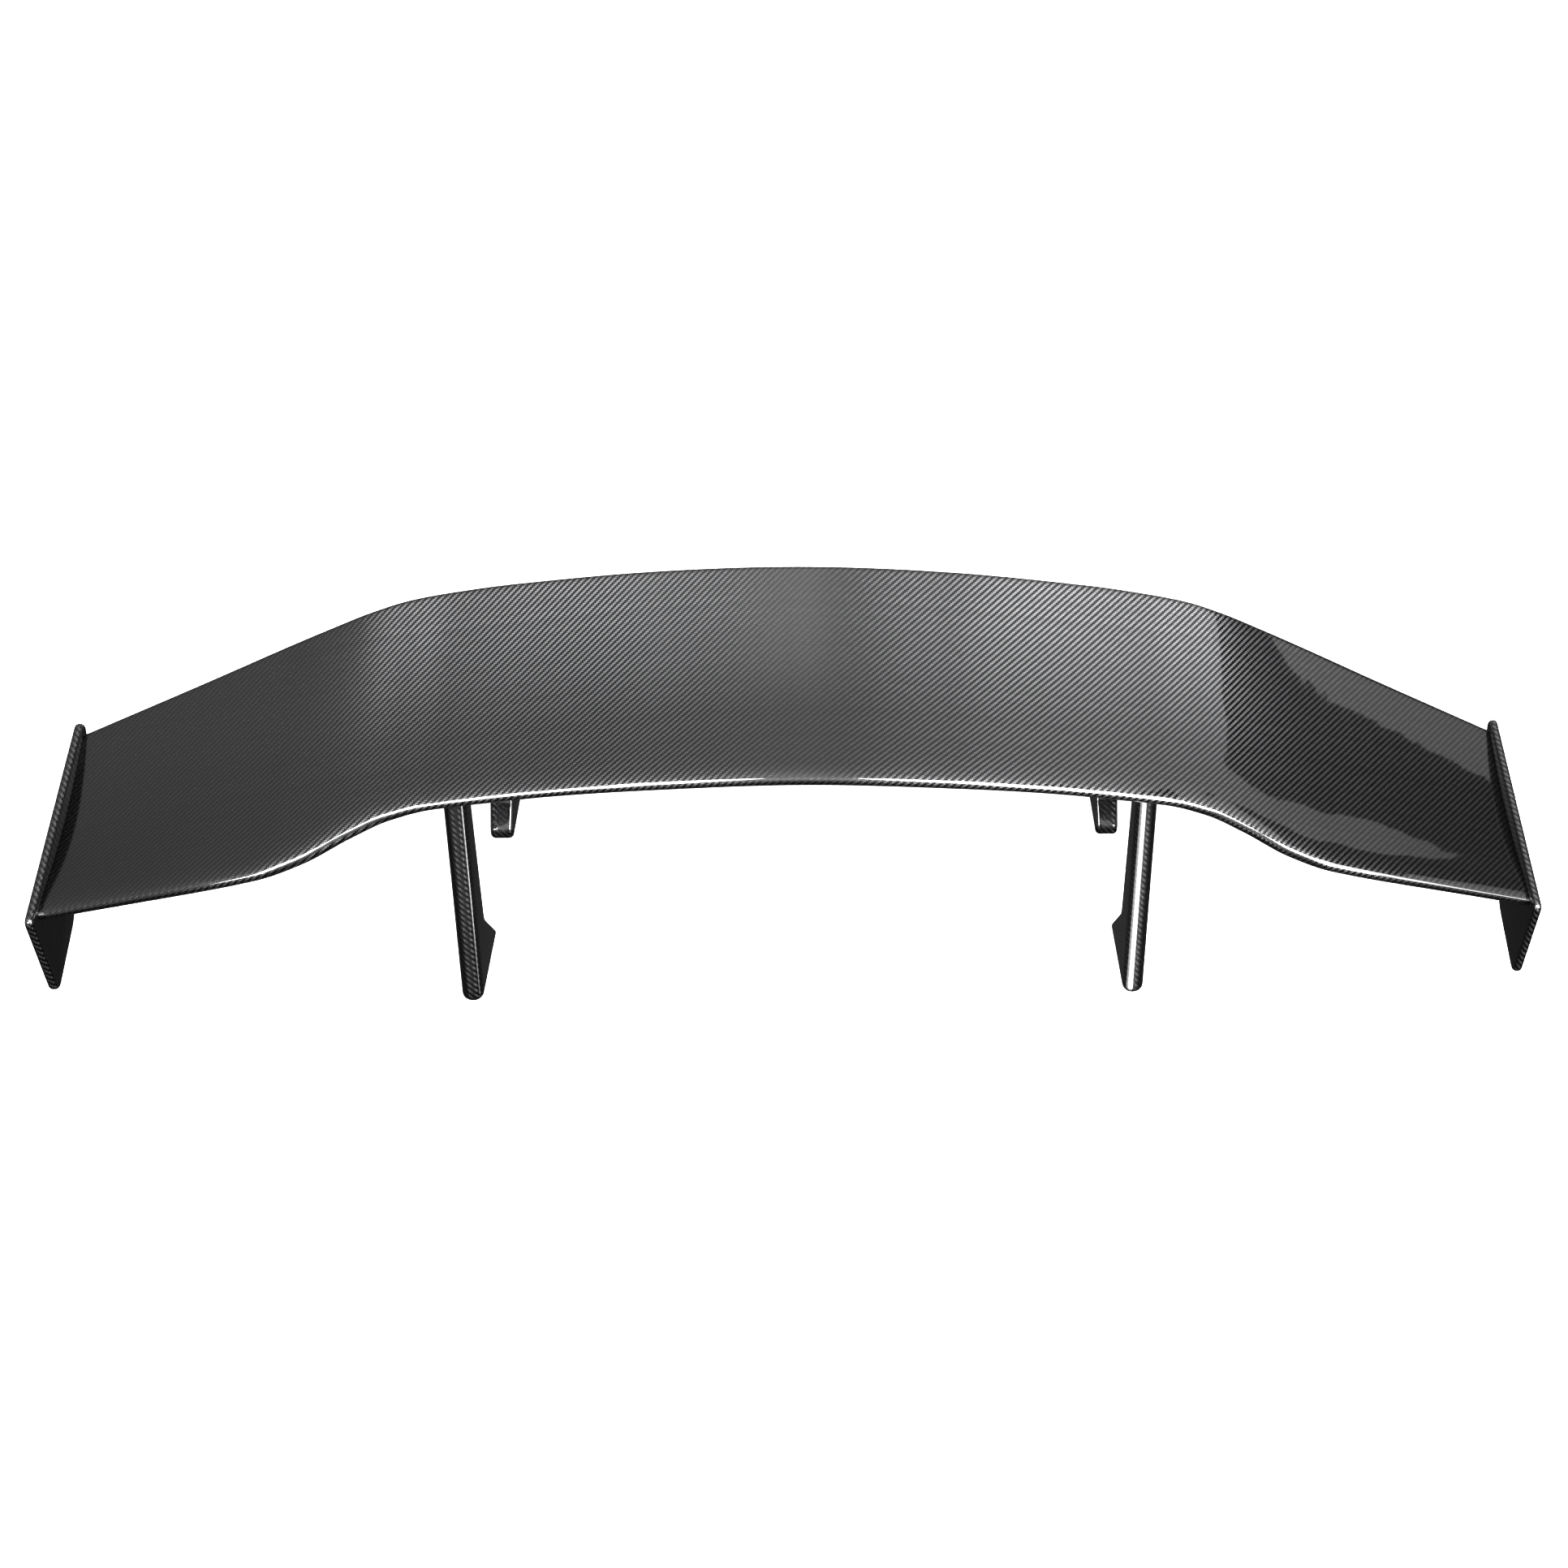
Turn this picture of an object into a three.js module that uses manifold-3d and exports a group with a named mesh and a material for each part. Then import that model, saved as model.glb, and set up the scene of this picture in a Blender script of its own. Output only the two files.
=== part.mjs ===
// Racing rear wing: hollow moulded blade, two endplates and two A-frame uprights.
// Millimetres, +Z up, leading edge toward -Y, "left" is the driver's left (+X).
import * as THREE from 'three';
import { mergeVertices } from 'three/addons/utils/BufferGeometryUtils.js';
import Module from 'manifold-3d';

const wasm = await Module();
wasm.setup();

// ---------------------------------------------------------------- dimensions
const GAP = 0.3;              // bond line or fitting gap between neighbouring pieces
const TIP_X = 842;            // half span of the blade without endplates
const SKIN = 2.0;             // laminate of each blade skin
const THICKNESS = 0.088;      // section thickness over chord
const TRAILING = 6.8;         // trailing edge thickness
const ENDPLATE = 10;          // endplate thickness
const LEG_X = 403;            // centre plane of an upright
const LEG_W = { front: 26, rear: 30 };   // leg thickness across the car
const RAIL_W = 36;            // top rail and mounting block width
const FLOOR = -359;           // underside of the feet below the centre leading edge

// Blade stations on one half: edges as [y, z] from the centre leading edge.
const STATIONS = [
  { x: 0, le: [0, 0], te: [263, 108], camber: 0.084 },
  { x: 170, le: [6, -12], te: [267, 98], camber: 0.084 },
  { x: 340, le: [14, -35], te: [267, 79], camber: 0.083 },
  { x: 412, le: [14, -46], te: [265, 68], camber: 0.082 },
  { x: 460, le: [7, -56], te: [260, 60], camber: 0.08 },
  { x: 500, le: [-9, -67], te: [252, 50], camber: 0.078 },
  { x: 550, le: [-34, -82], te: [243, 32], camber: 0.075 },
  { x: 600, le: [-47, -94], te: [235, 12], camber: 0.072 },
  { x: 690, le: [-51, -113], te: [218, -24], camber: 0.067 },
  { x: TIP_X, le: [-48, -150], te: [189, -83], camber: 0.06 },
];
const HALF_SPAN_X = [0, 40, 80, 120, 160, 200, 240, 280, 320, 350, 370,
  LEG_X - RAIL_W / 2, LEG_X, LEG_X + RAIL_W / 2, 440, 460, 480, 500, 520, 545, 575,
  610, 650, 690, 730, 770, 800, 820, TIP_X];
const SPAN_X = [...HALF_SPAN_X.slice(1).reverse().map((x) => -x), ...HALF_SPAN_X];
const CHORD_U = [0, 0.003, 0.012, 0.03, 0.06, 0.1, 0.15, 0.2, 0.28, 0.36, 0.45, 0.54,
  0.62, 0.68, 0.76, 0.84, 0.92, 1];
const FRONT_SPAR = [0.2, 0.28];
const REAR_SPAR = [0.62, 0.68];
const RIBS = { centre: 0, inner_left: 240, inner_right: -240, outer_left: 650, outer_right: -650 };
const SCREW_U = [0.16, 0.42, 0.68];   // endplate screws along the tip chord

// ----------------------------------------------------------------- materials
const lacquer = new THREE.MeshStandardMaterial({ color: 0x17181a, roughness: 0.16, metalness: 0.1 });
const dryCarbon = new THREE.MeshStandardMaterial({ color: 0x222326, roughness: 0.55, metalness: 0.05 });
const foam = new THREE.MeshStandardMaterial({ color: 0xcdbb92, roughness: 0.9, metalness: 0 });
const alloy = new THREE.MeshStandardMaterial({ color: 0xa9adb2, roughness: 0.35, metalness: 0.9 });
const steel = new THREE.MeshStandardMaterial({ color: 0x9a9da1, roughness: 0.28, metalness: 1 });
const blackSteel = new THREE.MeshStandardMaterial({ color: 0x26272a, roughness: 0.4, metalness: 0.8 });

const wing = new THREE.Group();
wing.name = 'racing_rear_wing';

// ------------------------------------------------------------------- helpers
// Monotone cubic through a few stations, so the edges never overshoot.
function smooth(xs, ys) {
  const h = xs.slice(1).map((x, i) => x - xs[i]);
  const s = h.map((d, i) => (ys[i + 1] - ys[i]) / d);
  const m = ys.map((_, i) => {
    if (i === 0) return 0;
    if (i === ys.length - 1) return s[i - 1];
    if (s[i - 1] * s[i] <= 0) return 0;
    const a = 2 * h[i] + h[i - 1];
    const b = h[i] + 2 * h[i - 1];
    return (a + b) / (a / s[i - 1] + b / s[i]);
  });
  return (x) => {
    let i = 0;
    while (i < h.length - 1 && x > xs[i + 1]) i += 1;
    const t = (x - xs[i]) / h[i];
    const t2 = t * t;
    const t3 = t2 * t;
    return (2 * t3 - 3 * t2 + 1) * ys[i] + (t3 - 2 * t2 + t) * h[i] * m[i]
      + (3 * t2 - 2 * t3) * ys[i + 1] + (t3 - t2) * h[i] * m[i + 1];
  };
}
const along = (pick) => smooth(STATIONS.map((s) => s.x), STATIONS.map(pick));
const blade = {
  ly: along((s) => s.le[0]),
  lz: along((s) => s.le[1]),
  ty: along((s) => s.te[0]),
  tz: along((s) => s.te[1]),
  camber: along((s) => s.camber),
};

function chordAt(x) {
  const a = Math.abs(x);
  const dy = blade.ty(a) - blade.ly(a);
  const dz = blade.tz(a) - blade.lz(a);
  return { y: blade.ly(a), z: blade.lz(a), dy, dz, c: Math.hypot(dy, dz), m: blade.camber(a) };
}
// Point at chord fraction u, moved v millimetres square to the chord.
function onBlade(x, u, v) {
  const k = chordAt(x);
  return [x, k.y + u * k.dy - (v * k.dz) / k.c, k.z + u * k.dz + (v * k.dy) / k.c];
}
const meanLine = (x, u) => -4 * chordAt(x).m * chordAt(x).c * u * (1 - u);
// Blunt-nosed thickness: radius about 9 mm at the nose, thickest near 20% of the chord.
function halfThickness(x, u) {
  const shape = 0.58 * Math.sqrt(u) - 0.875 * u + 0.6 * u ** 2 - 0.305 * u ** 3;
  return 5 * THICKNESS * chordAt(x).c * shape + (TRAILING / 2) * u;
}
const outer = (x, u, side) => onBlade(x, u, meanLine(x, u) + side * (GAP / 2 + halfThickness(x, u)));
const inner = (x, u, side, more = 0) => onBlade(x, u, meanLine(x, u)
  + side * Math.max(GAP / 2, GAP / 2 + halfThickness(x, u) - SKIN - more));

// Closed body from matching rings of points, ends capped.
function loft(rings) {
  const n = rings[0].length;
  const pos = rings.flat(2);
  const idx = [];
  for (let r = 0; r < rings.length - 1; r += 1) {
    for (let i = 0; i < n; i += 1) {
      const a = r * n + i;
      const b = r * n + ((i + 1) % n);
      idx.push(a, b, b + n, a, b + n, a + n);
    }
  }
  const cap = (ring, base, flip) => {
    const flat = ring.map((p) => new THREE.Vector2(p[1], p[2]));
    const turn = THREE.ShapeUtils.area(flat) < 0;
    if (turn) flat.reverse();
    for (const t of THREE.ShapeUtils.triangulateShape(flat, [])) {
      const [a, b, c] = t.map((k) => base + (turn ? n - 1 - k : k));
      idx.push(...(flip ? [a, c, b] : [a, b, c]));
    }
  };
  const ccw = THREE.ShapeUtils.area(rings[0].map((p) => new THREE.Vector2(p[1], p[2]))) > 0;
  const forward = rings[rings.length - 1][0][0] > rings[0][0][0];
  if (ccw !== forward) for (let i = 0; i < idx.length; i += 3) idx.splice(i, 3, idx[i], idx[i + 2], idx[i + 1]);
  cap(rings[0], 0, forward);
  cap(rings[rings.length - 1], (rings.length - 1) * n, !forward);
  const g = new THREE.BufferGeometry();
  g.setAttribute('position', new THREE.Float32BufferAttribute(pos, 3));
  g.setIndex(idx);
  return g;
}

// Corner points [y, z, radius, rim] turned into a filleted outline of [y, z, rim].
function fillet(corners, steps = 5) {
  const out = [];
  corners.forEach(([y, z, r, rim], i) => {
    const prev = corners[(i + corners.length - 1) % corners.length];
    const next = corners[(i + 1) % corners.length];
    const p = new THREE.Vector2(y, z);
    const a = new THREE.Vector2(prev[0], prev[1]).sub(p).normalize();
    const b = new THREE.Vector2(next[0], next[1]).sub(p).normalize();
    const half = Math.acos(THREE.MathUtils.clamp(a.dot(b), -1, 1)) / 2;
    const centre = a.clone().add(b).normalize().multiplyScalar(r / Math.sin(half)).add(p);
    const p1 = a.clone().multiplyScalar(r / Math.tan(half)).add(p).sub(centre);
    const p2 = b.clone().multiplyScalar(r / Math.tan(half)).add(p).sub(centre);
    let turn = p2.angle() - p1.angle();
    if (turn > Math.PI) turn -= 2 * Math.PI;
    if (turn < -Math.PI) turn += 2 * Math.PI;
    for (let k = 0; k <= steps; k += 1) {
      const w = p1.angle() + (turn * k) / steps;
      out.push([centre.x + r * Math.cos(w), centre.y + r * Math.sin(w), rim]);
    }
  });
  return out;
}
// Plate of a side outline between two X planes; each corner has its own rim radius.
function slab(outline, x0, x1, steps = 3) {
  const n = outline.length;
  const sign = Math.sign(THREE.ShapeUtils.area(outline.map((p) => new THREE.Vector2(p[0], p[1]))));
  const inward = outline.map((p, i) => {
    const a = outline[(i + n - 1) % n];
    const b = outline[(i + 1) % n];
    const n1 = new THREE.Vector2(-(p[1] - a[1]), p[0] - a[0]).normalize();
    const n2 = new THREE.Vector2(-(b[1] - p[1]), b[0] - p[0]).normalize();
    const m = n1.clone().add(n2).normalize();
    return m.multiplyScalar(sign / Math.max(0.5, m.dot(n1)));
  });
  const ring = (x, w, dir) => outline.map(([y, z, rim], i) => {
    const d = rim * (1 - Math.sin(w));
    return [x + dir * rim * (1 - Math.cos(w)), y + inward[i].x * d, z + inward[i].y * d];
  });
  const turns = [...Array(steps + 1).keys()].map((k) => (k / steps) * (Math.PI / 2));
  return loft([...turns.map((w) => ring(x0, w, 1)), ...turns.reverse().map((w) => ring(x1, w, -1))]);
}
// Turned part along an axis: profile pairs [radius, height] from axis to axis.
function turned(profile, at, axis, sides = 20) {
  const g = new THREE.LatheGeometry(profile.map(([r, h]) => new THREE.Vector2(r, h)), sides);
  const q = new THREE.Quaternion().setFromUnitVectors(new THREE.Vector3(0, 1, 0), axis.clone().normalize());
  return g.applyQuaternion(q).translate(...at);
}
function positionsOnly(g) {
  const bare = new THREE.BufferGeometry();
  bare.setAttribute('position', g.getAttribute('position').clone());
  if (g.index) bare.setIndex(g.index.clone());
  const merged = mergeVertices(bare, 1e-4);
  const kept = [];
  for (let i = 0; i < merged.index.count; i += 3) {
    const t = [0, 1, 2].map((k) => merged.index.getX(i + k));
    if (new Set(t).size === 3) kept.push(...t);
  }
  return merged.setIndex(kept);
}
function solid(g) {
  const m = positionsOnly(g);
  return new wasm.Manifold(new wasm.Mesh({
    numProp: 3,
    vertProperties: new Float32Array(m.getAttribute('position').array),
    triVerts: new Uint32Array(m.index.array),
  }));
}
function cut(g, tools) {
  let body = solid(g);
  for (const t of tools) body = body.subtract(solid(t));
  const mesh = body.getMesh();
  const out = new THREE.BufferGeometry();
  out.setAttribute('position', new THREE.BufferAttribute(new Float32Array(mesh.vertProperties), 3));
  out.setIndex(new THREE.BufferAttribute(new Uint32Array(mesh.triVerts), 1));
  return out;
}
function add(name, geometry, material) {
  const m = new THREE.Mesh(positionsOnly(geometry).toNonIndexed(), material);
  m.geometry.computeVertexNormals();
  m.name = name;
  wing.add(m);
}
const box = (x0, x1, y0, y1, z0, z1) => new THREE.BoxGeometry(x1 - x0, y1 - y0, z1 - z0)
  .translate((x0 + x1) / 2, (y0 + y1) / 2, (z0 + z1) / 2);
const spanBetween = (x0, x1) => [x0, ...SPAN_X.filter((x) => x > x0 + 1 && x < x1 - 1), x1];
const chordBetween = (u0, u1) => [u0, ...CHORD_U.filter((u) => u > u0 + 0.002 && u < u1 - 0.002), u1];

// ------------------------------------------------------- rail line and bolts
const railZ = (y) => -50 + (y - 100) * 0.4;      // straight underside of the top rail
const railAxis = new THREE.Vector3(0, -0.4, 1).normalize();
const RAIL_Y = [50, 227];
const BOLT_Y = [135, 168];
const boltSpots = (s) => BOLT_Y.map((y) => [s * LEG_X, y, railZ(y)]);
const boltHoles = (s, r) => boltSpots(s)
  .map((p) => turned([[0, -20], [r, -20], [r, 60], [0, 60]], p, railAxis));

// --------------------------------------------------------------- blade skins
for (const [name, side] of [['blade_upper_skin', 1], ['blade_lower_skin', -1]]) {
  const rings = SPAN_X.map((x) => [
    ...CHORD_U.map((u) => outer(x, u, side)),
    ...CHORD_U.slice(1).reverse().map((u) => inner(x, u, side)),
  ]);
  const holes = side < 0 ? [...boltHoles(1, 3.4), ...boltHoles(-1, 3.4)] : [];
  add(name, cut(loft(rings), holes), lacquer);
}

// A block filling the hollow between both skins over part of the chord and span.
function filler(x0, x1, u0, u1) {
  const us = chordBetween(u0, u1);
  return loft(spanBetween(x0, x1).map((x) => [
    ...us.map((u) => inner(x, u, 1, GAP)),
    ...us.slice().reverse().map((u) => inner(x, u, -1, GAP)),
  ]));
}
const uGap = 0.0014;
add('front_spar', filler(-819, 819, ...FRONT_SPAR), dryCarbon);
add('rear_spar', filler(-819, 819, ...REAR_SPAR), dryCarbon);
for (const [name, x] of Object.entries(RIBS)) {
  add(`rib_${name}`, filler(x - 4, x + 4, FRONT_SPAR[1] + uGap, REAR_SPAR[0] - uGap), foam);
}

// ------------------------------------------------ uprights, one set per side
const frontLeg = fillet([
  [84, railZ(84) - GAP, 13, 12], [121, railZ(121) - GAP, 4, 3], [81, -284, 26, 3],
  [133, FLOOR + 1, 4, 3], [3, FLOOR + 1, 13, 12],
]);
const rearLeg = fillet([
  [182, railZ(182) - GAP, 7, 3.5], [222, railZ(222) - GAP, 4, 3.5], [396, FLOOR + 26, 24, 3.5],
  [404, FLOOR + 1, 5, 4.5], [299, FLOOR + 1, 7, 6.5], [302, FLOOR + 17, 8, 6], [345, FLOOR + 62, 36, 4],
]);
const FOOT = { front: [[24, 110], frontLeg], rear: [[318, 382], rearLeg] };

for (const [side, s] of [['left', 1], ['right', -1]]) {
  const r0 = s * LEG_X - RAIL_W / 2;
  const r1 = s * LEG_X + RAIL_W / 2;

  const railU = chordBetween(0.1, 0.775);
  const rail = loft(spanBetween(r0, r1).map((x) => {
    const top = railU.map((u) => onBlade(x, u, meanLine(x, u) - halfThickness(x, u) - 1.5 * GAP));
    return [...top, [x, RAIL_Y[1], railZ(RAIL_Y[1])], [x, RAIL_Y[0], railZ(RAIL_Y[0])]];
  }));
  add(`top_rail_${side}`, cut(rail, boltHoles(s, 3.4)), alloy);
  add(`mount_block_${side}`,
    cut(filler(r0, r1, FRONT_SPAR[1] + uGap, REAR_SPAR[0] - uGap), boltHoles(s, 3.2)), alloy);
  // bolts run square to the rail underside, heads hanging in the arch
  boltSpots(s).forEach((p, i) => {
    const profile = [[0, -3.2], [2.4, -3.2], [2.4, -6.3], [4.6, -6.3], [5, -5.8], [5, -GAP],
      [3, -GAP], [3, 24], [2.4, 24.8], [0, 24.8]];
    add(`rail_bolt_${side}_${i + 1}`, turned(profile, p, railAxis), blackSteel);
  });

  for (const [end, [[y0, y1], outline]] of Object.entries(FOOT)) {
    const plate = { x0: s * LEG_X - 7, x1: s * LEG_X + 7, y0, y1, z0: FLOOR, z1: FLOOR + 6 };
    const pocket = box(plate.x0 - GAP, plate.x1 + GAP, y0 - GAP, y1 + GAP, FLOOR - 5, FLOOR + 6 + GAP);
    const [x0, x1] = [-1, 1].map((k) => s * LEG_X + (k * LEG_W[end]) / 2);
    add(`${end}_leg_${side}`, cut(slab(outline, x0, x1), [pocket]), lacquer);
    const holes = [y0 + 14, y1 - 14].map((y) => turned(
      [[0, -2], [3.4, -2], [3.4, 12], [0, 12]], [s * LEG_X, y, FLOOR], new THREE.Vector3(0, 0, 1)));
    add(`${end}_base_plate_${side}`, cut(box(...Object.values(plate)), holes), alloy);
  }
}

// --------------------------------------------- tips: rib, endplate, fasteners
const endOutline = fillet([
  [-65, -139, 9, 4], [-65, -256, 11, 4], [20, -227, 60, 4], [126, -162, 120, 4],
  [199, -90, 24, 4], [205, -67, 9, 4],
], 6);
for (const [side, s] of [['left', 1], ['right', -1]]) {
  const outward = new THREE.Vector3(s, 0, 0);
  const face = s * (TIP_X + GAP + ENDPLATE);
  const spots = SCREW_U.map((u) => {
    const p = onBlade(s * TIP_X, u, meanLine(TIP_X, u));
    return [face, p[1], p[2]];
  });
  const hole = (r) => spots.map((p) => turned([[0, -60], [r, -60], [r, 8], [0, 8]], p, outward));
  const [a, b] = [s * 820, s * TIP_X].sort((m, n) => m - n);
  add(`tip_rib_${side}`, cut(filler(a, b, 0.08, 0.8), hole(2.7)), dryCarbon);
  const [c, d] = [s * (TIP_X + GAP), face].sort((m, n) => m - n);
  add(`endplate_${side}`, cut(slab(endOutline, c, d), hole(2.9)), lacquer);
  spots.forEach((p, i) => {
    add(`endplate_washer_${side}_${i + 1}`,
      turned([[2.85, GAP], [7, GAP], [7, 1.2], [6.7, 1.5], [2.85, 1.5], [2.85, GAP]], p, outward, 24), steel);
    add(`endplate_screw_${side}_${i + 1}`,
      turned([[0, -26], [2.1, -26], [2.5, -25.4], [2.5, 1.8], [4.75, 1.8], [4.75, 2.6], [3.9, 4.1],
        [2.6, 4.7], [1.6, 4.7], [1.6, 3], [0, 3]], p, outward), steel);
  });
}

// ------------------------------------- part frame: centred, standing on z = 0
const bounds = new THREE.Box3().setFromObject(wing);
const middle = bounds.getCenter(new THREE.Vector3());
for (const m of wing.children) m.geometry.translate(-middle.x, -middle.y, -bounds.min.z);

export default wing;
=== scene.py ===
import math

import bmesh
import bpy
import numpy as np
from mathutils import Matrix, Vector


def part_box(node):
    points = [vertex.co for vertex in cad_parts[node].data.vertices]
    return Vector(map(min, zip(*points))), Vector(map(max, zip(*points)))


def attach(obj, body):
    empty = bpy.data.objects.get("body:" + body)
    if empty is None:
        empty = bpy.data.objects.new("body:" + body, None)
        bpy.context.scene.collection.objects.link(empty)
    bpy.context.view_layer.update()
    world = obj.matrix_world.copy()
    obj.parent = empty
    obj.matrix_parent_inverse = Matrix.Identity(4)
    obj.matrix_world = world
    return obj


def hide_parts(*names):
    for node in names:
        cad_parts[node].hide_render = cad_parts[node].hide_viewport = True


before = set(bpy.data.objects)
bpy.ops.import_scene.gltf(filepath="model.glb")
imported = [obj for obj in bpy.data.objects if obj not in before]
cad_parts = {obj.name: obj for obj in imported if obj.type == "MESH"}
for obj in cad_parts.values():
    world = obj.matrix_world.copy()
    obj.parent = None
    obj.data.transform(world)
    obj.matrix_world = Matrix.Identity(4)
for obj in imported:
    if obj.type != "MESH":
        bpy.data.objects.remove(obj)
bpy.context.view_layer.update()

# Shapes are worked out in millimetres from the centre of the leading edge, as the wing is
# designed, and moved into the frame (metres) when a mesh is made. +Y is rearward, +X the
# driver's left.
MM = 0.001

# ------------------------------------------------------------------ dimensions
SEAM = 0.05             # bond line left between the two blade mouldings
TIP_X = 842.0           # half span of the blade
SKIN = 2.0              # laminate thickness
THICKNESS = 0.088       # section thickness over chord
TRAILING = 6.8          # trailing edge thickness
ROLL = 6.0              # length over which the trailing edge rounds off
ENDPLATE = 10.0         # endplate thickness
FIT = 0.3               # gap between fitted pieces
LEG_X = 403.0           # centre plane of an upright
LEG_W = {"front": 26.0, "rear": 30.0}
FLOOR_Z = -359.0        # underside of the feet
FRONT_PLATE_Y = 24.0    # front end of the front base plate
TOW = 1.95              # width of one carbon tow in the cloth
WANDER = 1.2            # scale of how far the tows wander from straight
WANDER_WAVES = 9.0      # waves of that wander per metre
RAIL_SLOPE = 0.4        # rise of the top rail toward the rear

# Blade stations on one half: x, leading edge y and z, trailing edge y and z, camber.
STATIONS = np.array([
    (0, 0, 0, 263, 108, 0.084),
    (170, 6, -12, 267, 98, 0.084),
    (340, 14, -35, 267, 79, 0.083),
    (412, 14, -46, 265, 68, 0.082),
    (460, 7, -56, 260, 60, 0.080),
    (500, -9, -67, 252, 50, 0.078),
    (550, -34, -82, 243, 32, 0.075),
    (600, -47, -94, 235, 12, 0.072),
    (690, -51, -113, 218, -24, 0.067),
    (TIP_X, -48, -150, 189, -83, 0.060),
])

plate_low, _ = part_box("front_base_plate_left")
ORIGIN = Vector((0.0, plate_low.y - FRONT_PLATE_Y * MM, plate_low.z - FLOOR_Z * MM))


# ------------------------------------------------------------- blade surface
def monotone(xs, ys):
    """Cubic through the stations that never overshoots them."""
    h = np.diff(xs)
    s = np.diff(ys) / h
    m = np.zeros(len(ys))
    m[-1] = s[-1]
    for i in range(1, len(h)):
        if s[i - 1] * s[i] > 0:
            a, b = 2 * h[i] + h[i - 1], h[i] + 2 * h[i - 1]
            m[i] = (a + b) / (a / s[i - 1] + b / s[i])

    def value(x):
        x = np.abs(x)
        i = np.clip(np.searchsorted(xs, x, side="right") - 1, 0, len(h) - 1)
        t = (x - xs[i]) / h[i]
        rise = (3 - 2 * t) * t * t
        return ((1 - rise) * ys[i] + rise * ys[i + 1]
                + h[i] * ((t - 1) ** 2 * t * m[i] + (t - 1) * t * t * m[i + 1]))
    return value


lead_y, lead_z, trail_y, trail_z, camber = (
    monotone(STATIONS[:, 0], STATIONS[:, k]) for k in range(1, 6))


def on_blade(x, u, v):
    """Point at chord fraction u, moved v square to the chord."""
    dy, dz = trail_y(x) - lead_y(x), trail_z(x) - lead_z(x)
    c = np.hypot(dy, dz)
    return np.stack([x + 0 * u, lead_y(x) + u * dy - v * dz / c,
                     lead_z(x) + u * dz + v * dy / c], axis=-1)


def chord(x):
    return np.hypot(trail_y(x) - lead_y(x), trail_z(x) - lead_z(x))


def mean_line(x, u):
    return -4 * camber(x) * chord(x) * u * (1 - u)


def half_thickness(x, u):
    shape = 0.58 * np.sqrt(u) - 0.875 * u + 0.6 * u ** 2 - 0.305 * u ** 3
    return 5 * THICKNESS * chord(x) * shape + TRAILING / 2 * u


def skin_point(x, u, side, depth=0.0):
    """Moulding surface on one side (1 upper, -1 lower), or `depth` below it."""
    roll = ROLL / chord(x)                  # the trailing edge is rolled over
    past = np.clip((u - 1 + roll) / roll, 0, 1)
    t = half_thickness(x, u) * np.sqrt(1 - past ** 2) - depth
    return on_blade(x, u, mean_line(x, u) + side * (SEAM / 2 + np.maximum(t, 0)))


# --------------------------------------------------------------- mesh helpers
def piece(name, verts_mm, faces, uvs, materials, face_slots=None, sharp=35):
    """Smooth-shaded object riding on the wing, with its cloth map in metres."""
    mesh = bpy.data.meshes.new(name)
    mesh.from_pydata([tuple(Vector(v) * MM + ORIGIN) for v in verts_mm], [], faces)
    layer = mesh.uv_layers.new(name="cloth")
    flat = [c * MM for face in uvs for corner in face for c in corner]
    layer.data.foreach_set("uv", flat)
    for m in materials:
        mesh.materials.append(m)
    if face_slots is not None:
        mesh.polygons.foreach_set("material_index", face_slots)
    mesh.validate()
    mesh.shade_smooth()
    mesh.set_sharp_from_angle(angle=math.radians(sharp))
    obj = bpy.data.objects.new(name, mesh)
    bpy.context.scene.collection.objects.link(obj)
    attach(obj, "root")
    return obj


def arc_lengths(points):
    steps = np.linalg.norm(np.diff(points, axis=0), axis=1)
    return np.concatenate([[0.0], np.cumsum(steps)])


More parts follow.
